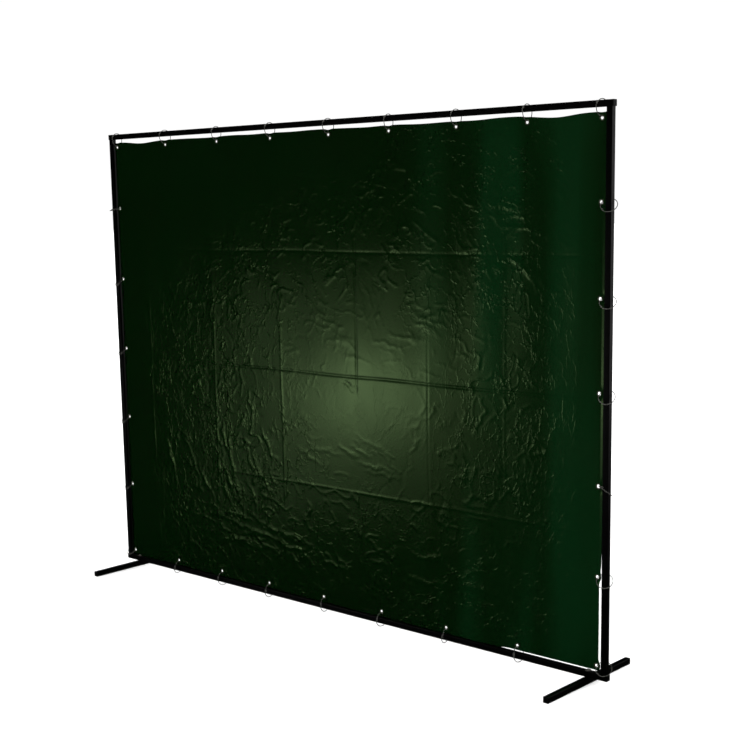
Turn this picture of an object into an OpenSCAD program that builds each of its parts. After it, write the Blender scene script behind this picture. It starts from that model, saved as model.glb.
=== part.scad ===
// Free-standing welding curtain screen: a bolted square-tube frame on two crosswise feet,
// with a vinyl curtain laced into it all round by wire split rings.
// X runs along the frame, -Y is the front, Z is up. The origin is on the floor, midway
// between the feet. Millimetres.

/* [Frame] */
// Width over the plastic end caps of the rails
frame_w = 2400; // [1800:10:3000]
// Height from the floor to the top of the top rail
frame_h = 1800; // [1760:10:2100]
// Outside width of the square steel tube
tube = 20; // [20:0.5:22]
// Wall thickness of the tube
wall = 1.5; // [1.2:0.1:1.8]
// Outside corner radius of the tube
tube_r = 2; // [1.9:0.1:3]

/* [Feet] */
// Length of each foot over its end caps
foot_len = 470; // [300:10:600]
// From the end of the frame to the middle of the foot
foot_inset = 74; // [60:1:100]
// Gap in which a foot turns under the bottom rail
foot_gap = 0.3; // [0.1:0.1:0.5]

/* [Curtain] */
// Gap between the curtain's side edges and the uprights
side_gap = 5; // [3:0.5:8]
// Gap between the curtain's bottom edge and the bottom rail
bottom_gap = 7.7; // [7:0.1:10]
// Thickness of the vinyl sheet, and of the hem welded to its back
vinyl_t = 0.6; // [0.4:0.1:0.8]
// Width of the hem
hem_w = 32; // [28:1:45]
// From the curtain's top and side edges to the middle of an eyelet
eyelet_inset = 15; // [13:1:20]
// From the curtain's bottom edge to the middle of an eyelet
bottom_inset = 15; // [12:1:17]
// Number of eyelets along the top, and along the bottom
eyelets_across = 9; // [9]
// Number of eyelets down each side, between the two corners
eyelets_down = 5; // [5]
// Distance between the side eyelets, counted up from the bottom corner
side_pitch = 288; // [250:1:300]
// How far each top eyelet was punched to the right of its even place
top_eyelet_shift = [0, 15, 28, 31, 36, 28, 28, 19, 0]; // [-45:1:45]
// How far each bottom eyelet was punched to the right of its even place
bottom_eyelet_shift = [0, -2, -25, -41, -37, -38, -29, -17, 0]; // [-45:1:45]

/* [Eyelets and rings] */
// Hole through an eyelet
eyelet_d = 11; // [11:0.5:13]
// Outside diameter of an eyelet's flange
flange_d = 18; // [17:0.5:20]
// Diameter of a split ring, at the middle of its wire
ring_d = 51; // [50:0.5:53]
// Diameter of the ring wire
wire_d = 2.5; // [2:0.1:2.8]

/* [Hidden] */

left = -1;
right = 1;
front = -1;
back = 1;

steel_black = [0.04, 0.045, 0.04];
cap_black = [0.03, 0.03, 0.03];
zinc = [0.62, 0.62, 0.58];
bolt_zinc = [0.42, 0.41, 0.37];
vinyl_green = [0.01, 0.13, 0.05];

// Tubes and their end caps
cap_t = 4;                              // flange of an end cap
cap_edge = 1;                           // stepped edge round the flange
blade_len = 12;                         // legs that hold a cap in its tube
blade_t = 2;
blade_w = 14;
blade_play = 0.1;
rail_end = frame_w / 2 - cap_t;         // end of each rail's tube
upright_x = rail_end - tube / 2;
bottom_rail_z = tube + foot_gap;        // underside of the bottom rail
upright_z = bottom_rail_z + tube;       // foot of the uprights
top_rail_z = frame_h - tube;            // underside of the top rail

// Corner screws, and the inserts that they screw into
insert_h = 25;
insert_play = 0.1;
screw_d = 5.9;
thread_d = 6;
screw_hole_d = 6.4;
screw_len = 20;
screw_head_d = 10.5;
screw_head_h = 3.3;
screw_socket = 4;
screw_socket_depth = 2;
access_d = 12;                          // hole in the outer wall for the driver

// Foot bolts: a low round head on the rail, below the curtain, and a nut inside the foot
foot_x = frame_w / 2 - foot_inset;
bolt_d = 8;
bolt_hole_d = 8.1;
bolt_head_d = 15;
bolt_head_h = 4.4;
bolt_socket = 5;
bolt_socket_depth = 2.8;
bolt_below_nut = 2.5;
foot_access_d = 16;                     // hole in the foot's lower wall for the nut
washer_d = 20;
washer_hole_d = 8.4;
washer_t = 1.6;
nut_flats = 13;
nut_h = 6.5;
nut_top = tube - wall;
bolt_seat = upright_z + washer_t;       // underside of the head

// Rings: the wire's circle, and how freely it sits
ring_r = ring_d / 2;
wire_r = wire_d / 2;
rail_play = 0.5;
eyelet_play = 0.4;
hoop_angle = 330;                       // the ring's wire, up to where it leaves its own plane
tail_angle = 60;                        // and its lapped end beyond that
tail_tilt = 13;
bend_swell = 0.06;                      // the wire is this much thicker where it bends
top_lap = 115;                          // where round the ring the wire begins
side_lap = 55;
bottom_lap = 65;

// A top ring hangs on the two upper edges of the rail, and the curtain hangs in it
top_ring_z = frame_h - sqrt(pow(ring_r - wire_r - rail_play, 2) - pow(tube / 2, 2));
top_grip_z = top_ring_z - ring_r;
top_eyelet_z = top_grip_z + wire_r + eyelet_play - eyelet_d / 2;
top_ring_yaw = [5, -7, 4, 0, -6, 5, -4, 2, -11];

// Curtain outline
curtain_x = upright_x - tube / 2 - side_gap;
curtain_z = upright_z + bottom_gap;
curtain_top = top_eyelet_z + eyelet_inset;
eyelet_x = curtain_x - eyelet_inset;
eyelet_pitch = 2 * eyelet_x / (eyelets_across - 1);
bottom_eyelet_z = curtain_z + bottom_inset;
barrel_d = eyelet_d + 1.8;
barrel_play = 0.2;
flange_t = 0.5;
lip_d = 1;

// A bottom ring hangs from its eyelet round the bottom rail
bottom_grip_play = 0.5;
bottom_grip_drop = eyelet_d / 2 - wire_r - bottom_grip_play;
bottom_ring_lean = [12, -6, 2, -5, 1, 7, -9];
bottom_ring_yaw = [5, -6, 4, 6, -7, 6, -4];

// Side rings: how far each droops round the upright, and how far its front is tilted down.
// The last ring, at the bottom corner, clears the bottom rail.
left_ring_pose = [[6, 12], [20, 46], [20, 44], [20, 46], [20, 42], [12, 45]];
right_ring_pose = [[20, 46], [20, 44], [20, 46], [26, -27], [20, 42], [12, 45]];
side_grip = [2.5, 0, -0.5];
corner_grip = [2, 0, -0.5];

function top_x(i) = -eyelet_x + i * eyelet_pitch + top_eyelet_shift[i];
function bottom_x(i) = -eyelet_x + i * eyelet_pitch + bottom_eyelet_shift[i];
function down_z(i) = bottom_eyelet_z + (eyelets_down + 1 - i) * side_pitch;

// ---- shapes that repeat ----

module rounded_square(size, r) {
    square([size, size - 2 * r], center = true);
    square([size - 2 * r, size], center = true);
    for (x = [-1, 1], y = [-1, 1]) translate([x, y] * (size / 2 - r)) circle(r, $fn = 32);
}

// Square tube along Z, from the origin up
module square_tube(length) {
    difference() {
        linear_extrude(length) rounded_square(tube, tube_r);
        translate([0, 0, -1]) linear_extrude(length + 2)
            rounded_square(tube - 2 * wall, tube_r - wall);
    }
}

// Plastic cap for a tube that ends at the origin and points up
module end_cap() {
    color(cap_black) {
        linear_extrude(cap_t - cap_edge) rounded_square(tube, tube_r);
        linear_extrude(cap_t) rounded_square(tube - 2 * cap_edge, tube_r - cap_edge / 2);
        for (side = [-1, 1])
            translate([0, side * (tube / 2 - wall - blade_play - blade_t / 2), -blade_len / 2])
                cube([blade_w, blade_t, blade_len + 1], center = true);
    }
}

// Rail along X with its underside at z
module rail(z) {
    translate([-rail_end, 0, z + tube / 2]) rotate([0, 90, 0]) square_tube(2 * rail_end);
}

// Screw hole in a rail's wall next to the upright, and the driver's hole in the wall beyond it
module corner_holes(z, towards_upright) {
    for (side = [left, right]) translate([side * upright_x, 0, z + tube / 2]) {
        screw_side = towards_upright > 0 ? 0 : -tube;
        access_side = towards_upright > 0 ? -tube : 0;
        translate([0, 0, screw_side]) cylinder(d = screw_hole_d, h = tube, $fn = 48);
        translate([0, 0, access_side]) cylinder(d = access_d, h = tube, $fn = 48);
    }
}

module upright(side) {
    translate([side * upright_x, 0, upright_z]) square_tube(top_rail_z - upright_z);
}

// Threaded insert in an upright's end, with its lower face at z
module insert(side, z) {
    color(zinc) translate([side * upright_x, 0, z]) difference() {
        linear_extrude(insert_h)
            rounded_square(tube - 2 * wall - 2 * insert_play, tube_r - wall);
        translate([0, 0, -1]) cylinder(d = thread_d, h = insert_h + 2, $fn = 48);
    }
}

// Round-headed screw with a hexagon socket. Its shank points up from the underside of its head.
module corner_screw() {
    cylinder(d = screw_d, h = screw_len, $fn = 48);
    head_r = (pow(screw_head_d / 2, 2) + pow(screw_head_h, 2)) / (2 * screw_head_h);
    difference() {
        intersection() {
            translate([0, 0, head_r - screw_head_h]) sphere(head_r, $fn = 64);
            translate([0, 0, -screw_head_h]) cylinder(d = access_d, h = screw_head_h, $fn = 48);
        }
        translate([0, 0, -2 * screw_head_h])
            cylinder(d = screw_socket / cos(30), h = screw_head_h + screw_socket_depth, $fn = 6);
    }
}

module foot(side) {
    color(steel_black) translate([side * foot_x, 0, 0]) difference() {
        translate([0, foot_len / 2 - cap_t, tube / 2]) rotate([90, 0, 0])
            square_tube(foot_len - 2 * cap_t);
        translate([0, 0, tube / 2]) cylinder(d = bolt_hole_d, h = tube, $fn = 64);
        translate([0, 0, -1]) cylinder(d = foot_access_d, h = tube / 2, $fn = 64);
    }
}

module foot_cap(side, end) {
    translate([side * foot_x, end * (foot_len / 2 - cap_t), tube / 2])
        rotate([-end * 90, 0, 0]) end_cap();
}

// Round-headed bolt with a hexagon socket, down through the rail into the foot
module foot_bolt(side) {
    dome_r = (pow(bolt_head_d / 2, 2) + pow(bolt_head_h, 2)) / (2 * bolt_head_h);
    length = bolt_seat - nut_top + nut_h + bolt_below_nut;
    color(bolt_zinc) translate([side * foot_x, 0, bolt_seat]) {
        difference() {
            intersection() {
                translate([0, 0, bolt_head_h - dome_r]) sphere(dome_r, $fn = 96);
                cylinder(d = bolt_head_d + 1, h = bolt_head_h, $fn = 64);
            }
            translate([0, 0, bolt_head_h - bolt_socket_depth])
                cylinder(d = bolt_socket / cos(30), h = bolt_head_h, $fn = 6);
        }
        translate([0, 0, -length]) cylinder(d = bolt_d, h = length, $fn = 64);
    }
}

module foot_washer(side) {
    color(zinc) translate([side * foot_x, 0, upright_z]) difference() {
        cylinder(d = washer_d, h = washer_t, $fn = 64);
        translate([0, 0, -1]) cylinder(d = washer_hole_d, h = washer_t + 2, $fn = 64);
    }
}

module foot_nut(side) {
    color(bolt_zinc) translate([side * foot_x, 0, nut_top - nut_h]) difference() {
        cylinder(d = nut_flats / cos(30), h = nut_h, $fn = 6);
        translate([0, 0, -1]) cylinder(d = bolt_hole_d, h = nut_h + 2, $fn = 64);
    }
}

// Eyelet pressed through the curtain: a barrel, two flanges and two rolled lips
module eyelet(x, z) {
    inner = eyelet_d / 2;
    color(zinc) translate([x, 0, z]) rotate([90, 0, 0]) rotate_extrude($fn = 64) {
        translate([inner, -vinyl_t - flange_t]) square([barrel_d / 2 - inner, 2 * (vinyl_t + flange_t)]);
        for (face = [-1, 1]) {
            translate([inner, face > 0 ? vinyl_t : -vinyl_t - flange_t])
                square([flange_d / 2 - inner, flange_t]);
            translate([inner + lip_d / 2, face * (vinyl_t + flange_t)]) circle(d = lip_d, $fn = 24);
        }
    }
}

// Every eyelet's place, as [x, z]
function eyelet_places() = concat(
    [for (i = [0 : eyelets_across - 1]) [top_x(i), top_eyelet_z]],
    [for (i = [0 : eyelets_across - 1]) [bottom_x(i), bottom_eyelet_z]],
    [for (i = [1 : eyelets_down], side = [left, right]) [side * eyelet_x, down_z(i)]]
);

module eyelet_holes() {
    for (p = eyelet_places()) translate([p[0], 0, p[1]]) rotate([90, 0, 0])
        cylinder(d = barrel_d + barrel_play, h = eyelet_d, center = true, $fn = 48);
}

// Arc of wire in the XY plane, from +X round Z
module wire_arc(angle) {
    rotate_extrude(angle = angle, $fn = 96) translate([ring_r, 0]) circle(wire_r, $fn = 24);
}

// Split ring in the XY plane: its wire passes through the origin along Y, and its middle is on +X.
// lap is the angle round the ring from the origin at which the wire begins.
module split_ring(lap) {
    color(zinc) translate([ring_r, 0, 0]) {
        rotate([0, 0, 180 + lap]) wire_arc(hoop_angle);
        rotate([0, 0, 180 + lap + hoop_angle]) {
            translate([ring_r, 0, 0]) sphere(wire_r + bend_swell, $fn = 48);
            rotate([tail_tilt, 0, 0]) wire_arc(tail_angle);
        }
    }
}

module side_ring(i, pose) {
    grip = i > eyelets_down ? corner_grip : side_grip;
    translate([eyelet_x, 0, down_z(i)] + grip)
        rotate([0, pose[0], 0]) rotate([pose[1], 0, 0]) split_ring(side_lap);
}

// ---- sub-parts ----

module top_rail() color(steel_black) difference() {
    rail(top_rail_z);
    corner_holes(top_rail_z, -1);
}

module bottom_rail() color(steel_black) difference() {
    rail(bottom_rail_z);
    corner_holes(bottom_rail_z, 1);
    for (side = [left, right]) translate([side * foot_x, 0, bottom_rail_z - 1])
        cylinder(d = bolt_hole_d, h = tube + 2, $fn = 64);
}

module left_upright() color(steel_black) upright(left);
module right_upright() color(steel_black) upright(right);

module rail_cap(side, z) translate([side * rail_end, 0, z + tube / 2]) rotate([0, side * 90, 0]) end_cap();
module top_rail_cap_left() rail_cap(left, top_rail_z);
module top_rail_cap_right() rail_cap(right, top_rail_z);
module bottom_rail_cap_left() rail_cap(left, bottom_rail_z);
module bottom_rail_cap_right() rail_cap(right, bottom_rail_z);

module insert_top_left() insert(left, top_rail_z - insert_h);
module insert_top_right() insert(right, top_rail_z - insert_h);
module insert_bottom_left() insert(left, upright_z);
module insert_bottom_right() insert(right, upright_z);

module corner_screws() color(bolt_zinc) for (side = [left, right]) {
    translate([side * upright_x, 0, top_rail_z + wall]) rotate([180, 0, 0]) corner_screw();
    translate([side * upright_x, 0, upright_z - wall]) corner_screw();
}

module left_foot() foot(left);
module left_foot_cap_front() foot_cap(left, front);
module left_foot_cap_back() foot_cap(left, back);
module left_foot_bolt() foot_bolt(left);
module left_foot_nut() foot_nut(left);
module left_foot_washer() foot_washer(left);

module right_foot() foot(right);
module right_foot_cap_front() foot_cap(right, front);
module right_foot_cap_back() foot_cap(right, back);
module right_foot_bolt() foot_bolt(right);
module right_foot_nut() foot_nut(right);
module right_foot_washer() foot_washer(right);

// The vinyl sheet, and behind it the hem that doubles its border
module curtain() color(vinyl_green) difference() {
    translate([-curtain_x, -vinyl_t, curtain_z]) cube([2 * curtain_x, vinyl_t, curtain_top - curtain_z]);
    eyelet_holes();
}

module curtain_hem() color(vinyl_green) difference() {
    translate([-curtain_x, 0, curtain_z]) cube([2 * curtain_x, vinyl_t, curtain_top - curtain_z]);
    translate([-curtain_x + hem_w, -1, curtain_z + hem_w])
        cube([2 * (curtain_x - hem_w), vinyl_t + 2, curtain_top - curtain_z - 2 * hem_w]);
    eyelet_holes();
}

module top_eyelets() for (i = [0 : eyelets_across - 1]) eyelet(top_x(i), top_eyelet_z);
module bottom_eyelets() for (i = [0 : eyelets_across - 1]) eyelet(bottom_x(i), bottom_eyelet_z);
module left_eyelets() for (i = [1 : eyelets_down]) eyelet(-eyelet_x, down_z(i));
module right_eyelets() for (i = [1 : eyelets_down]) eyelet(eyelet_x, down_z(i));

// Counted from the left, the corners among them
module top_ring(i) {
    translate([top_x(i - 1), 0, top_grip_z]) rotate([0, 0, top_ring_yaw[i - 1]])
        rotate([0, -90, 0]) split_ring(top_lap);
}

// Counted from the left, between the corners
module bottom_ring(i) {
    translate([bottom_x(i), 0, bottom_eyelet_z - bottom_grip_drop])
        rotate([0, bottom_ring_lean[i - 1], 0]) rotate([0, 0, bottom_ring_yaw[i - 1]])
            rotate([0, 90, 0]) split_ring(bottom_lap);
}

// Counted from the top, the bottom corner last
module left_ring(i) mirror([1, 0, 0]) side_ring(i, left_ring_pose[i - 1]);
module right_ring(i) side_ring(i, right_ring_pose[i - 1]);

top_rail();
bottom_rail();
left_upright();
right_upright();
top_rail_cap_left();
top_rail_cap_right();
bottom_rail_cap_left();
bottom_rail_cap_right();
insert_top_left();
insert_top_right();
insert_bottom_left();
insert_bottom_right();
corner_screws();
left_foot();
left_foot_cap_front();
left_foot_cap_back();
left_foot_bolt();
left_foot_nut();
left_foot_washer();
right_foot();
right_foot_cap_front();
right_foot_cap_back();
right_foot_bolt();
right_foot_nut();
right_foot_washer();
curtain();
curtain_hem();
top_eyelets();
bottom_eyelets();
left_eyelets();
right_eyelets();
for (i = [1 : 9]) top_ring(i);
for (i = [1 : 7]) bottom_ring(i);
for (i = [1 : 6]) left_ring(i);
for (i = [1 : 6]) right_ring(i);
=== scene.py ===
"""Looks for the welding curtain screen: materials, the hung vinyl curtain, light and camera."""

import math

import bpy
import numpy as np
from mathutils import Matrix, Vector


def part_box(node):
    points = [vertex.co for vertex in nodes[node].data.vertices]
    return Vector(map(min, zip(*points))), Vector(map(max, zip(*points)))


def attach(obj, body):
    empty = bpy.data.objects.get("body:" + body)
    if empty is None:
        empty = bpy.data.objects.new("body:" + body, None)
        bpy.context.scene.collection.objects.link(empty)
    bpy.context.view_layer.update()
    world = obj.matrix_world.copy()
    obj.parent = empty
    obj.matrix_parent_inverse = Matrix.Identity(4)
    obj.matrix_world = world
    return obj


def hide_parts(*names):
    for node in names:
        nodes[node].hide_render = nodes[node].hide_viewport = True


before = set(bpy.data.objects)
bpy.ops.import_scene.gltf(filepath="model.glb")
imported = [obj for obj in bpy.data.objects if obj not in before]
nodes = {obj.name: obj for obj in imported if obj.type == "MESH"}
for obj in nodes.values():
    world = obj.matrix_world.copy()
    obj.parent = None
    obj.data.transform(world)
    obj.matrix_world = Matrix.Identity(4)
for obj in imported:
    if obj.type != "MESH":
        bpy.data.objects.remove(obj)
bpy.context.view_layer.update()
scene = bpy.context.scene

# ---------------------------------------------------------------- places from the CAD

sheet_lo, sheet_hi = [Vector(c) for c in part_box("curtain")]
HALF_W = sheet_hi.x
TOP = sheet_hi.z
BOTTOM = sheet_lo.z
RAIL_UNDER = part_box("top_rail")[0][2]

# Each node of eyelets, and whether its row runs along x (0) or z (2)
EYELET_ROWS = {"top_eyelets": 0, "bottom_eyelets": 0, "left_eyelets": 2, "right_eyelets": 2}

# Sheet thickness, width of its hem, and radius of the hole for an eyelet's barrel
VINYL = 0.0006
HEM = 0.032
HOLE = 0.0066

# The middle of the sheet, x and z, where it is least crinkled
CALM = (0.22, 0.86)


def middles(node, along):
    """Centres (x, z) of the separate eyelets in one node."""
    o = nodes[node]
    co = np.array([o.matrix_world @ v.co for v in o.data.vertices])
    across = (co[:, 2 - along].min() + co[:, 2 - along].max()) / 2
    on = np.sort(co[:, along])
    groups = np.split(on, np.nonzero(np.diff(on) > 0.05)[0] + 1)
    found = [(g[0] + g[-1]) / 2 for g in groups]
    return [(m, across) if along == 0 else (across, m) for m in found]


eyelet_xz = np.array([m for node, along in EYELET_ROWS.items() for m in middles(node, along)])

# ---------------------------------------------------------------- node helpers


def new_material(name):
    """A material, its node tree and its Principled BSDF."""
    m = bpy.data.materials.new(name)
    m.use_nodes = True
    return m, m.node_tree, m.node_tree.nodes["Principled BSDF"]


def add(tree, kind, **values):
    n = tree.nodes.new(kind)
    for k, v in values.items():
        setattr(n, k, v)
    return n


def coordinates(tree, scale=(1, 1, 1), shift=(0, 0, 0)):
    c = add(tree, "ShaderNodeTexCoord")
    m = add(tree, "ShaderNodeMapping")
    m.inputs["Scale"].default_value = scale
    m.inputs["Location"].default_value = shift
    tree.links.new(c.outputs["Object"], m.inputs["Vector"])
    return m.outputs["Vector"]


def noise(tree, vector, scale, detail=3.0, rough=0.5, distort=0.0):
    n = add(tree, "ShaderNodeTexNoise")
    n.inputs["Scale"].default_value = scale
    n.inputs["Detail"].default_value = detail
    n.inputs["Roughness"].default_value = rough
    n.inputs["Distortion"].default_value = distort
    tree.links.new(vector, n.inputs["Vector"])
    return n.outputs["Fac"]


def ramp(tree, value, stops):
    n = add(tree, "ShaderNodeValToRGB")
    while len(n.color_ramp.elements) < len(stops):
        n.color_ramp.elements.new(0.5)
    for e, (pos, col) in zip(n.color_ramp.elements, stops):
        e.position = pos
        e.color = (*col, 1)
    tree.links.new(value, n.inputs["Fac"])
    return n.outputs["Color"]


def remap(tree, value, lo, hi, out_lo, out_hi):
    n = add(tree, "ShaderNodeMapRange")
    n.inputs["From Min"].default_value = lo
    n.inputs["From Max"].default_value = hi
    n.inputs["To Min"].default_value = out_lo
    n.inputs["To Max"].default_value = out_hi
    tree.links.new(value, n.inputs["Value"])
    return n.outputs["Result"]


def math_node(tree, op, a, b):
    """Two sockets, or a socket and a number, put together."""
    n = add(tree, "ShaderNodeMath", operation=op)
    for i, v in enumerate((a, b)):
        if hasattr(v, "is_linked"):
            tree.links.new(v, n.inputs[i])
        else:
            n.inputs[i].default_value = v
    return n.outputs[0]


def bump(tree, height, strength, distance, after=None):
    n = add(tree, "ShaderNodeBump")
    n.inputs["Strength"].default_value = strength
    n.inputs["Distance"].default_value = distance
    tree.links.new(height, n.inputs["Height"])
    if after is not None:
        tree.links.new(after, n.inputs["Normal"])
    return n.outputs["Normal"]


# ---------------------------------------------------------------- materials


def powder_coat():
    """Semi-gloss black powder coat, with the fine orange peel and the odd dusty rub."""
    m, t, b = new_material("powder_coat")
    v = coordinates(t)
    dust = noise(t, v, 9.0, 5.0, 0.6)
    t.links.new(
        ramp(t, dust, [(0.35, (0.0001, 0.0002, 0.0001)), (0.75, (0.0004, 0.0005, 0.0004))]),
        b.inputs["Base Color"],
    )
    t.links.new(remap(t, noise(t, v, 30.0, 4.0), 0.3, 0.7, 0.3, 0.42), b.inputs["Roughness"])
    b.inputs["Specular IOR Level"].default_value = 0.45
    peel = noise(t, v, 900.0, 2.0)
    t.links.new(bump(t, peel, 0.25, 0.0004), b.inputs["Normal"])
    return m


def cap_plastic():
    """Moulded black plastic, a little greyer and duller than the paint."""
    m, t, b = new_material("cap_plastic")
    v = coordinates(t)
    t.links.new(
        ramp(t, noise(t, v, 60.0, 4.0), [(0.3, (0.0004, 0.0004, 0.0004)), (0.7, (0.0011, 0.0011, 0.001))]),
        b.inputs["Base Color"],
    )
    t.links.new(remap(t, noise(t, v, 220.0, 3.0), 0.3, 0.7, 0.42, 0.55), b.inputs["Roughness"])
    t.links.new(bump(t, noise(t, v, 1600.0, 2.0), 0.2, 0.0003), b.inputs["Normal"])
    return m


def plated(name, light, dark, rough, metallic):
    """Plate: cloudy patches, fine rub marks and duller spots."""
    m, t, b = new_material(name)
    v = coordinates(t)
    cloud = noise(t, v, 140.0, 5.0, 0.6, 0.6)
    t.links.new(ramp(t, cloud, [(0.3, dark), (0.7, light)]), b.inputs["Base Color"])
    t.links.new(
        remap(t, noise(t, v, 420.0, 4.0), 0.3, 0.7, rough - 0.07, rough + 0.12),
        b.inputs["Roughness"],
    )
    b.inputs["Metallic"].default_value = metallic
    t.links.new(bump(t, noise(t, v, 1500.0, 3.0), 0.15, 0.0002), b.inputs["Normal"])
    return m


def vinyl():
    """Dark green glossy vinyl, with painted light that makes it paler towards the right, and painted sheen
    and shade in bands down the hanging folds there. The crinkles too fine for the mesh are bumps: thin
    broken lines that wander between smooth patches."""
    m, t, b = new_material("green_vinyl")
    v = coordinates(t)
    tone = noise(t, v, 2.2, 4.0, 0.55)
    place = add(t, "ShaderNodeSeparateXYZ")
    t.links.new(v, place.inputs[0])
    # Painted sheen and shade: paler vertical bands down the hanging folds, on the right part only
    painted_fold_sheen = noise(t, coordinates(t, (7.0, 1.0, 0.8), (1.2, 0, 0)), 1.0, 1.0, 0.4)
    painted_fold_sheen = remap(t, painted_fold_sheen, 0.4, 0.62, 0.0, 0.55)
    painted_fold_sheen = math_node(t, "MULTIPLY", painted_fold_sheen, remap(t, place.outputs["X"], 0.35, 0.6, 0.0, 1.0))
    # Painted light: the colour grows paler towards the right, where the sheet is lit more
    painted_light_right = remap(t, place.outputs["X"], 0.5, 0.85, 0.05, 0.25)
    shade = math_node(t, "ADD", painted_light_right, math_node(t, "MULTIPLY", tone, 0.2))
    t.links.new(
        ramp(
            t,
            math_node(t, "ADD", shade, painted_fold_sheen),
            [(0.12, (0.00003, 0.0042, 0.0002)), (0.9, (0.00003, 0.0098, 0.0022))],
        ),
        b.inputs["Base Color"],
    )
    t.links.new(remap(t, noise(t, v, 5.0, 4.0), 0.3, 0.7, 0.215, 0.25), b.inputs["Roughness"])
    b.inputs["Specular IOR Level"].default_value = 0.5
    b.inputs["Specular Tint"].default_value = (0.59, 1.0, 0.31, 1)

    def lines(scale, stretch, width, shift, keep):
        """Lines along the borders of random cells, bent by noise and broken into pieces."""
        at = coordinates(t, stretch, (shift, shift * 1.3, shift * 0.7))
        bend = add(t, "ShaderNodeTexNoise")
        bend.inputs["Scale"].default_value = scale * 1.6
        bend.inputs["Detail"].default_value = 2.0
        t.links.new(at, bend.inputs["Vector"])
        push = add(t, "ShaderNodeVectorMath", operation="MULTIPLY_ADD")
        t.links.new(bend.outputs["Color"], push.inputs[0])
        push.inputs[1].default_value = (0.9 / scale,) * 3
        t.links.new(at, push.inputs[2])
        cells = add(t, "ShaderNodeTexVoronoi", feature="DISTANCE_TO_EDGE")
        cells.inputs["Scale"].default_value = scale
        t.links.new(push.outputs[0], cells.inputs["Vector"])
        line = remap(t, cells.outputs["Distance"], 0.0, width * scale, 1.0, 0.0)
        broken = remap(t, noise(t, at, scale * 0.8, 2.0), keep, keep + 0.1, 0.0, 1.0)
        return math_node(t, "MULTIPLY", line, broken)

    fine = lines(16.0, (1.3, 1.0, 0.8), 0.0042, 3.1, 0.46)
    finer = lines(27.0, (1.0, 1.0, 1.0), 0.0032, 8.7, 0.51)
    height = math_node(t, "ADD", fine, math_node(t, "MULTIPLY", finer, 0.6))
    x, z = place.outputs["X"], place.outputs["Z"]
    upper_left = math_node(t, "SUBTRACT", z, math_node(t, "MULTIPLY", x, 0.55))
    away = add(t, "ShaderNodeVectorMath", operation="DISTANCE")
    t.links.new(v, away.inputs[0])
    away.inputs[1].default_value = (CALM[0], 0, CALM[1])
    # In patches; smooth in the upper left, by the side edges and in the middle
    for part in (
        remap(t, noise(t, v, 3.2, 2.0), 0.34, 0.56, 0.3, 1.0),
        remap(t, upper_left, 1.5, 1.85, 1.0, 0.0),
        remap(t, x, 0.9, 1.1, 1.0, 0.1),
        remap(t, x, -1.1, -0.85, 0.1, 1.0),
        remap(t, away.outputs["Value"], 0.25, 0.95, 0.05, 1.0),
    ):
        height = math_node(t, "MULTIPLY", height, part)
    first = bump(t, height, 1.0, 0.0013)
    skin = bump(t, noise(t, v, 300.0, 2.0), 0.03, 0.0003, first)
    t.links.new(skin, b.inputs["Normal"])
    return m


paint = powder_coat()
black_plastic = cap_plastic()
zinc = plated("ring_zinc", (0.17, 0.17, 0.155), (0.09, 0.09, 0.08), 0.3, 0.75)
eyelet_plate = plated("aged_plate", (0.05, 0.06, 0.035), (0.03, 0.035, 0.02), 0.4, 0.6)
bolt_zinc = plated("dull_zinc", (0.16, 0.155, 0.14), (0.1, 0.095, 0.085), 0.38, 0.75)
green = vinyl()

for name, node in nodes.items():
    if "eyelets" in name:
        mat = eyelet_plate
    elif "_ring_" in name:
        mat = zinc
    elif "cap" in name:
        mat = black_plastic
    elif any(part in name for part in ("bolt", "nut", "washer", "screws", "insert")):
        mat = bolt_zinc
    elif "curtain" in name:
        mat = green
    else:
        mat = paint
    for s in node.material_slots:
        s.material = mat

# ---------------------------------------------------------------- the curtain's shape


def smooth(a, b, x):
    """0 at a and 1 at b, with a soft start and end."""
    k = np.clip((x - a) / (b - a), 0, 1)
    return k * k * (3 - 2 * k)


def perlin(x, y, seed):
    """Gradient noise, about -0.7 to 0.7."""
    turn = np.random.RandomState(seed).rand(256, 256) * 2 * np.pi
    gx, gy = np.cos(turn), np.sin(turn)
    xi, yi = np.floor(x).astype(int), np.floor(y).astype(int)
    fx, fy = x - xi, y - yi
    u, v = fx**3 * (fx * (fx * 6 - 15) + 10), fy**3 * (fy * (fy * 6 - 15) + 10)

    def corner(i, j):
        a, b = (xi + i) % 256, (yi + j) % 256
        return gx[a, b] * (fx - i) + gy[a, b] * (fy - j)

    below = corner(0, 0) * (1 - u) + corner(1, 0) * u
    above = corner(0, 1) * (1 - u) + corner(1, 1) * u
    return below * (1 - v) + above * v


def near_path(x, z, path):
    """Distance from each point to a path, and how far along the path it is, from 0 to 1."""
    best = np.full(x.shape, 9.0)
    along = np.zeros(x.shape)
    for k in range(len(path) - 1):
        (ax, az), (bx, bz) = path[k], path[k + 1]
        dx, dz = bx - ax, bz - az
        t = np.clip(((x - ax) * dx + (z - az) * dz) / (dx * dx + dz * dz), 0, 1)
        d = np.hypot(x - ax - t * dx, z - az - t * dz)
        closer = d < best
        best = np.where(closer, d, best)
        along = np.where(closer, (k + t) / (len(path) - 1), along)
    return best, along


# The sheet was stored folded in a grid, and keeps the folds: places across and up, how high the
# broad crest of each stands and how high its sharp line does, in mm, to the back if positive,
# and the heights between which the upright ones show their line
FOLDS_ACROSS = [
    (-0.99, -1.0, -1.1, 0.5, 1.1), (-0.6, -0.9, -0.9, 0.45, 1.05), (-0.23, -0.9, -0.85, 0.45, 1.05),
    (0.15, 0.8, 1.0, 0.92, 1.4), (0.478, -1.1, 0.6, 0.45, 1.1), (0.8, 1.0, -0.6, 0.6, 1.7),
]
FOLDS_UP = [(1.341, 0.9, 1.0), (0.903, 0.7, 1.6), (0.484, -0.8, -0.7)]

# How far a fold strays from its straight line, how far its crest falls off, and half its line's width
FOLD_WANDER = 0.006
FOLD_CREST = 0.03
FOLD_LINE = 0.0045

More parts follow.
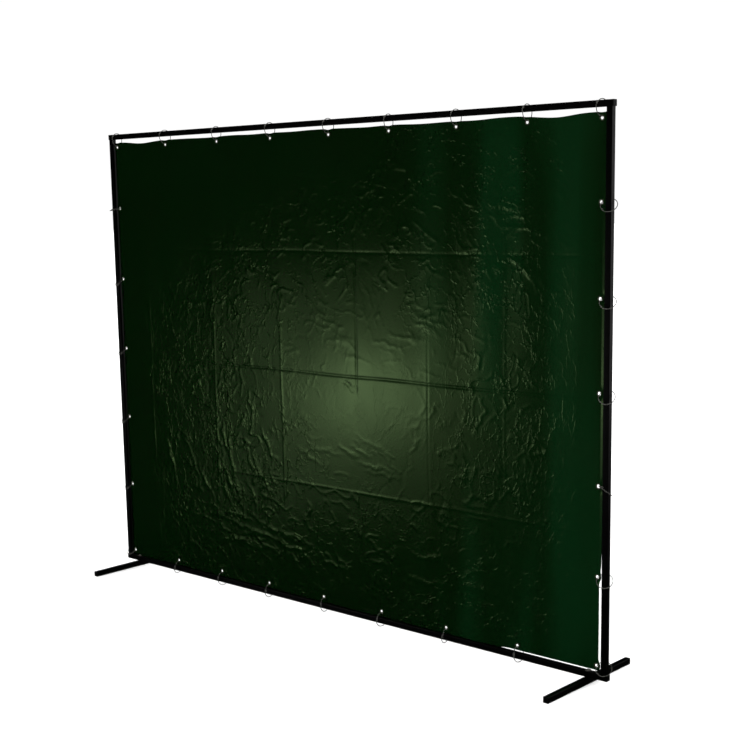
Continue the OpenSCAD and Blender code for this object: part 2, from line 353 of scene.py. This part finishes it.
# Long wrinkles, in patches: the patch's middle and half size, across and up, how many it has, how
# they run in degrees from level, their length in metres, and their height and half width in mm,
# to the back if positive
WRINKLE_PATCHES = [
    (0.8, 1.55, 0.06, 0.07, 5, -25, 0.1, -1.2, 7),
    (0.9, 1.3, 0.05, 0.05, 2, -35, 0.15, -1.2, 8),
    (0.2, 1.05, 0.3, 0.09, 8, -15, 0.13, -1.1, 6),
    (0.1, 0.85, 0.02, 0.02, 2, -35, 0.09, 2.8, 5),
    (0.1, 0.6, 0.2, 0.06, 7, -10, 0.14, -1.1, 6),
    (-0.6, 0.5, 0.3, 0.12, 14, -65, 0.2, -1.3, 6),
    (-0.4, 0.25, 0.3, 0.06, 9, -8, 0.25, -1.3, 6),
    (0.45, 0.27, 0.25, 0.05, 5, 5, 0.17, -1.1, 8),
]


def eyelet_distance(x, z):
    """Distance from each point to the middle of the nearest eyelet."""
    d = np.full(x.shape, 9.0)
    for ex, ez in eyelet_xz:
        d = np.minimum(d, np.hypot(x - ex, z - ez))
    return d


def crinkled(x, z):
    """How crinkled the sheet is, from 0 to 1: least in the upper left and by the right edge."""
    k = smooth(-1.1, -0.85, x) * (1 - smooth(0.92, 1.1, x))
    k = k * smooth(0.06, 0.14, z) * (1 - smooth(1.6, 1.72, z)) * (1 - smooth(1.5, 1.85, z - 0.55 * x))
    k = k * (1 - 0.5 * smooth(0.55, 0.85, x) * (1 - smooth(0.45, 0.75, z)))
    return np.clip(k * (0.85 + 0.8 * perlin(x * 2.3, z * 2.3, 5)), 0, 1)


def ridge_field(x, z, size, width, seed):
    """Short wandering ridges about size metres apart."""
    wx = x + size * 0.35 * perlin(x / size * 1.7, z / size * 1.7, seed + 1)
    wz = z + size * 0.35 * perlin(x / size * 1.7, z / size * 1.7, seed + 2)
    n = perlin(wx / size, wz / size, seed)
    r = np.clip(1 - np.abs(n) / width, 0, 1)
    broken = smooth(0.0, 0.15, perlin(x / size * 0.8, z / size * 0.8, seed + 3))
    return r * r * (3 - 2 * r) * broken


def draw_wrinkles():
    """Every long wrinkle, as a wandering path of points, its height and its half width in mm."""
    draw = np.random.RandomState(7)
    found = []
    for x, z, half_x, half_z, count, slope, length, height, width in WRINKLE_PATCHES:
        for _ in range(count):
            middle = np.array([x, z]) + np.array([half_x, half_z]) * draw.uniform(-1, 1, 2)
            turn = math.radians(draw.uniform(-14, 14))
            headings = math.radians(slope + draw.uniform(-15, 15)) + turn * (np.arange(4) - 1.5)
            step = length * draw.uniform(0.7, 1.3) / 4
            steps = step * np.stack([np.cos(headings), np.sin(headings)], axis=-1)
            path = middle - steps.sum(0) / 2 + np.concatenate([[[0, 0]], steps.cumsum(0)])
            found.append((path, height * draw.uniform(0.8, 1.1), width))
    return found


def top_gap(x):
    """Gap between the rail and the curtain's top edge, in mm: it sags most in its outer spans."""
    sag = 7 * np.exp(-(((np.abs(x) - 1.0) / 0.08) ** 2))
    return 13.5 + sag + 4 * perlin(x / 0.16, 0.5 + 0 * x, 61)


def folds(x, z):
    """Fold memory, in mm: a crest that falls off over a few centimetres, and a groove along it."""
    y = 0
    for place, crest, sharp, start, end in FOLDS_ACROSS:
        d = np.abs(x - place - FOLD_WANDER * perlin(z * 3.1, place * 7 + 0 * z, 21))
        part = 0.45 + 1.1 * np.abs(perlin(z * 4.3, place * 9 + 0 * z, 23))
        shown = smooth(start - 0.1, start, z) * (1 - smooth(end, end + 0.1, z))
        y += part * (crest * np.exp(-d / FOLD_CREST) + sharp * shown * np.exp(-((d / FOLD_LINE) ** 2)))
    for place, crest, sharp in FOLDS_UP:
        d = np.abs(z - place - FOLD_WANDER * perlin(x * 2.7, place * 7 + 0 * x, 25))
        part = 0.5 + 0.9 * np.abs(perlin(x * 3.9, place * 9 + 0 * x, 27))
        y += part * (crest * np.exp(-d / FOLD_CREST) + sharp * np.exp(-((d / FOLD_LINE) ** 2)))
    return y


def wrinkles(x, z):
    """The long wrinkles and the short ridges between them, in mm: higher towards the outside."""
    sharper = np.clip(np.hypot(x - CALM[0], (z - CALM[1]) * 1.3) / 0.65, 0.36, 1.3)
    jx = x + 0.014 * perlin(x / 0.035, z / 0.035, 71) + 0.006 * perlin(x / 0.015, z / 0.015, 73)
    jz = z + 0.014 * perlin(x / 0.035, z / 0.035, 72) + 0.006 * perlin(x / 0.015, z / 0.015, 74)
    y = 0
    for path, height, half_width in draw_wrinkles():
        d, t = near_path(jx, jz, path)
        uneven = np.sin(np.pi * (0.08 + 0.84 * t)) * sharper * (d < 0.05)
        y += height * uneven * np.exp(-((d * 1000 / half_width) ** 2))
    return y + crinkled(x, z) * sharper**1.5 * (
        0.5 * ridge_field(x * 1.2, z * 0.85, 0.11, 0.08, 31)
        - 0.8 * ridge_field(x * 1.2, z * 0.85, 0.09, 0.09, 41)
        - 1.2 * ridge_field(x * 0.8, z * 1.2, 0.08, 0.09, 51)
    )


def sheet_y(x, z):
    """How far the sheet's back face stands behind the frame's middle plane, in metres."""
    y = 3.0 * perlin(x / 0.62, z / 0.62, 11) + 0.9 * perlin(x / 0.27, z / 0.33, 12)
    # Soft upright folds below the top rings, strongest at the right
    drop = smooth(0.75, 1.7, z)
    y += (0.8 + 2.2 * smooth(0.3, 1.0, x)) * drop * np.sin(x * 2 * np.pi / 0.19 + 1.2 * perlin(x * 3, z, 15))
    y += folds(x, z)
    y += wrinkles(x, z)
    # The welded hem lies flatter, and the sheet stands a little proud along its inner edge
    edge = np.minimum(HALF_W - np.abs(x), np.minimum(TOP - z, z - BOTTOM))
    y *= 0.25 + 0.75 * smooth(0.0, 0.12, edge)
    y += 0.35 * np.exp(-(((edge - 0.033) / 0.003) ** 2))
    # The eyelets hold it in the middle plane
    from_eyelet = eyelet_distance(x, z)
    y *= smooth(0.011, 0.07, from_eyelet)
    # The right edge curls towards the front, the left one towards the back
    y -= 2.4 * smooth(1.158, 1.171, x) * smooth(0.012, 0.03, from_eyelet)
    y += 2.0 * smooth(-1.155, -1.171, x) * smooth(0.012, 0.03, from_eyelet)
    return y / 1000


def sheet_points(u, w):
    """Where the points of the flat sheet hang, as x, y of the back face, and z."""
    from_eyelet = eyelet_distance(u, w)
    hold = smooth(0.0095, 0.026, from_eyelet)
    up = (RAIL_UNDER - TOP - top_gap(u) / 1000) * np.exp(-(TOP - w) / 0.09)
    # The bottom edge reaches down to the rail, except near the right end
    reach = 0.007 * (1 - smooth(0.75, 0.82, u))
    down = reach * np.exp(-(w - BOTTOM) / 0.05) * smooth(0.0095, 0.0145, from_eyelet)
    # The right edge stands out towards the upright in its upper part, and away from it lower down
    out = 0.003 * smooth(1.0, 1.171, u) * smooth(0.4, 0.5, w)
    out = out - 0.007 * smooth(0.9, 1.171, u) * smooth(0.4, 0.33, w)
    return u + out * hold, sheet_y(u, w), w + up * hold - down


def grid_lines(lo, hi, step, fine_places, fine_step, reach, keep):
    """Grid lines about step apart, and fine_step apart within reach of each fine place."""
    stops = sorted({lo, hi, *keep, *[p + s * reach for p in fine_places for s in (-1, 1)]})
    stops = [s for s in stops if lo <= s <= hi]
    out = [lo]
    for a, b in zip(stops[:-1], stops[1:]):
        middle = (a + b) / 2
        near = any(abs(middle - p) < reach for p in fine_places)
        n = max(1, round((b - a) / (fine_step if near else step)))
        out += [a + (b - a) * (i + 1) / n for i in range(n)]
    return np.array(out)


def build_curtain():
    """The hung sheet and the hem behind it, on one grid that is finer at the eyelets and folds."""
    columns = sorted({round(float(x), 5) for x in eyelet_xz[:, 0]} | {f[0] for f in FOLDS_ACROSS})
    rows = sorted({round(float(z), 5) for z in eyelet_xz[:, 1]} | {f[0] for f in FOLDS_UP})
    step = 0.005
    us = grid_lines(-HALF_W, HALF_W, step, columns, 0.003, 0.012, [-HALF_W + HEM, HALF_W - HEM])
    ws = grid_lines(BOTTOM, TOP, step, rows, 0.003, 0.012, [BOTTOM + HEM, TOP - HEM])
    nu, nw = len(us), len(ws)
    U, W = np.meshgrid(us, ws, indexing="ij")
    # Round the holes: the points near a hole's rim move onto it, and the faces inside it go
    solid = np.ones((nu - 1, nw - 1), bool)
    cu, cw = (us[:-1] + us[1:]) / 2, (ws[:-1] + ws[1:]) / 2
    for ex, ez in eyelet_xz:
        inside = np.hypot(cu[:, None] - ex, cw[None, :] - ez) < HOLE * 0.97
        solid &= ~inside
        i, j = np.nonzero(np.hypot(U - ex, W - ez) < HOLE * 1.42)
        for a, b in zip(i, j):
            around = inside[max(a - 1, 0) : a + 1, max(b - 1, 0) : b + 1]
            if around.all() or not around.any():
                continue
            r = math.hypot(U[a, b] - ex, W[a, b] - ez)
            U[a, b] = ex + (U[a, b] - ex) * HOLE / r
            W[a, b] = ez + (W[a, b] - ez) * HOLE / r
    X, Y, Z = sheet_points(U, W)
    index = np.arange(nu * nw).reshape(nu, nw)
    quads = np.stack(
        [index[:-1, :-1], index[1:, :-1], index[1:, 1:], index[:-1, 1:]], axis=-1
    )
    in_hem = (
        (np.minimum(cu + HALF_W, HALF_W - cu)[:, None] < HEM)
        | (np.minimum(cw - BOTTOM, TOP - cw)[None, :] < HEM)
    )

    def piece(name, faces, lift, thickness):
        used = np.unique(faces)
        where = np.full(nu * nw, -1)
        where[used] = np.arange(len(used))
        co = np.stack([X.ravel(), Y.ravel() + lift, Z.ravel()], axis=-1)[used]
        mesh = bpy.data.meshes.new(name)
        mesh.from_pydata(co.tolist(), [], where[faces].tolist())
        mesh.update()
        mesh.shade_smooth()
        o = bpy.data.objects.new(name, mesh)
        scene.collection.objects.link(o)
        mesh.materials.append(green)
        s = o.modifiers.new("thickness", "SOLIDIFY")
        s.thickness = thickness
        s.offset = -1
        s.use_rim = True
        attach(o, "frame")
        return o

    sheet = piece("vinyl_sheet", quads[solid].reshape(-1, 4), -VINYL, VINYL)
    hem = piece("vinyl_hem", quads[solid & in_hem].reshape(-1, 4), 0.00003, 0.00055)
    return sheet, hem


sheet, hem = build_curtain()
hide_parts("curtain")
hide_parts("curtain_hem")

# ---------------------------------------------------------------- floor, light and camera


def floor():
    mesh = bpy.data.meshes.new("floor")
    s = 60.0
    mesh.from_pydata([(-s, -s, 0), (s, -s, 0), (s, s, 0), (-s, s, 0)], [], [(0, 1, 2, 3)])
    o = bpy.data.objects.new("floor", mesh)
    scene.collection.objects.link(o)
    m, t, b = new_material("pale_floor")
    v = coordinates(t)
    t.links.new(
        ramp(t, noise(t, v, 1.5, 3.0), [(0.3, (0.9, 0.9, 0.9)), (0.7, (0.93, 0.93, 0.93))]),
        b.inputs["Base Color"],
    )
    b.inputs["Roughness"].default_value = 0.9
    b.inputs["Specular IOR Level"].default_value = 0.1
    mesh.materials.append(m)
    o.visible_glossy = False


def area_light(name, at, towards, size, power):
    d = bpy.data.lights.new(name, "AREA")
    d.shape = "RECTANGLE"
    d.size = size
    d.size_y = size
    d.energy = power
    o = bpy.data.objects.new(name, d)
    o.location = at
    o.rotation_euler = (Vector(towards) - Vector(at)).to_track_quat("-Z", "Y").to_euler()
    o.visible_camera = False
    scene.collection.objects.link(o)


def studio_sky(light, shown):
    """White all round that lights the scene at one strength and is shown at another: shown any
    brighter than white, it washes out the thin rings before it."""
    world = bpy.data.worlds.new("studio")
    scene.world = world
    world.use_nodes = True
    sky = world.node_tree.nodes["Background"]
    sky.inputs["Color"].default_value = (1, 1, 1, 1)
    rays = add(world.node_tree, "ShaderNodeLightPath")
    strength = remap(world.node_tree, rays.outputs["Is Camera Ray"], 0.0, 1.0, light, shown)
    world.node_tree.links.new(strength, sky.inputs["Strength"])
    world.cycles_visibility.glossy = False


def camera(at, azimuth, down, roll, lens, shift):
    """The camera at a place, turned to an azimuth, looking down and rolled, in degrees."""
    data = bpy.data.cameras.new("camera")
    data.sensor_width = 36
    data.lens = lens
    data.shift_x, data.shift_y = shift
    o = bpy.data.objects.new("camera", data)
    scene.collection.objects.link(o)
    az, el, tilt = math.radians(azimuth), math.radians(down), math.radians(roll)
    look = Vector((-math.sin(az) * math.cos(el), math.cos(az) * math.cos(el), -math.sin(el)))
    level = Vector((math.cos(az), math.sin(az), 0))
    upright = level.cross(look)
    right = level * math.cos(tilt) + upright * math.sin(tilt)
    up = upright * math.cos(tilt) - level * math.sin(tilt)
    o.matrix_world = Matrix.Translation(at) @ Matrix((right, up, -look)).transposed().to_4x4()
    scene.camera = o


floor()
studio_sky(light=2.0, shown=1.02)
area_light("key", (-1.745, -2.13, 0.455), (0.2, 0, 0.86), 0.4, 2.0)
area_light("key_softener", (-1.85, -2.14, 0.43), (0.2, 0, 0.86), 1.25, 2.2)
area_light("right_rear", (3.6, 3.4, 1.6), (1.2, 0, 0.9), 3.0, 14.0)
area_light("overhead", (0.0, -0.5, 5.5), (0, 0, 0), 3.0, 30.0)
camera((3.397, -3.5046, 1.5235), 42.353, 9.285, -0.986, lens=65.304, shift=(0.0089, 0.0621))

scene.view_settings.view_transform = "Standard"
scene.view_settings.look = "None"
